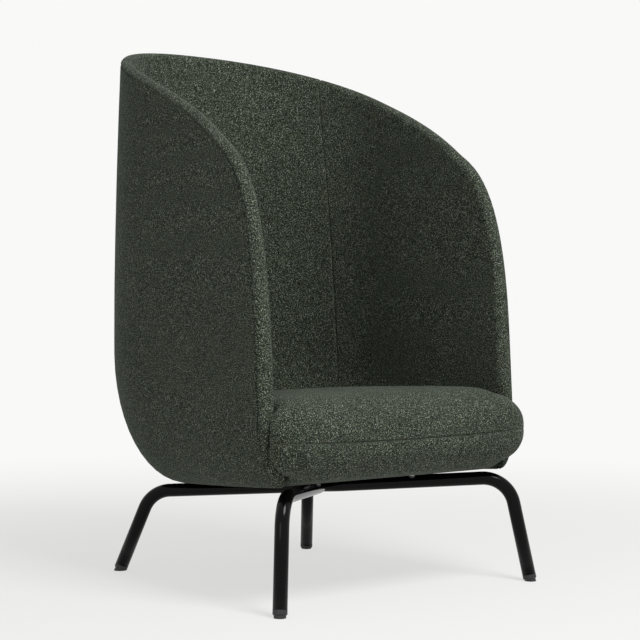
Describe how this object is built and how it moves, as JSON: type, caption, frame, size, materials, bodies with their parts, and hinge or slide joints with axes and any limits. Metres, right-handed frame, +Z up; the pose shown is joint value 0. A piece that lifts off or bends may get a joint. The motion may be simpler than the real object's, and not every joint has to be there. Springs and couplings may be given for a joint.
{
  "type": "lounge chair",
  "caption": "Lounge chair with a high acoustic shell that wraps round the sitter, a rolled seat cushion and a low bent tube frame on fixed feet.",
  "frame": {"origin": "on the floor, at the middle of the chair's overall width and depth", "axes": "+Z up, +Y towards the back of the chair, +X to the right for someone who looks at the chair's front"},
  "size_m": [0.7416, 0.838, 1.222],
  "materials": {
    "black_lacquer": "gloss black lacquer",
    "glide_plastic": "matt dark grey plastic",
    "black_steel": "blackened steel",
    "zinc_steel": "zinc plated steel",
    "plywood": "raw plywood",
    "black_lining_cloth": "thin black nonwoven cloth",
    "foam": "open cell foam",
    "green_wool_felt": "felted wool with light and teal flecks, dark green"
  },
  "bodies": {
    "root": {"frame_tube_left": "black_lacquer", "frame_tube_right": "black_lacquer", "centre_plate": "black_lacquer", "mounting_plate_front_left": "black_lacquer", "mounting_plate_front_right": "black_lacquer", "mounting_plate_rear_left": "black_lacquer", "mounting_plate_rear_right": "black_lacquer", "glide_front_left": "glide_plastic", "glide_front_right": "glide_plastic", "glide_rear_left": "glide_plastic", "glide_rear_right": "glide_plastic", "frame_bolts": "black_steel", "lock_washers": "zinc_steel", "t_nuts": "zinc_steel", "seat_board": "plywood", "dust_cover": "black_lining_cloth", "clamp_plates": "zinc_steel", "clamp_screws": "zinc_steel", "shell_core": "plywood", "outer_foam": "foam", "inner_foam": "foam", "outer_cover_left": "green_wool_felt", "outer_cover_right": "green_wool_felt", "inner_lining_left": "green_wool_felt", "inner_lining_back": "green_wool_felt", "inner_lining_right": "green_wool_felt", "seat_base_foam": "foam", "cushion_foam": "foam", "cushion_cover_top": "green_wool_felt", "cushion_cover_low": "green_wool_felt"}
  },
  "joints": []
}
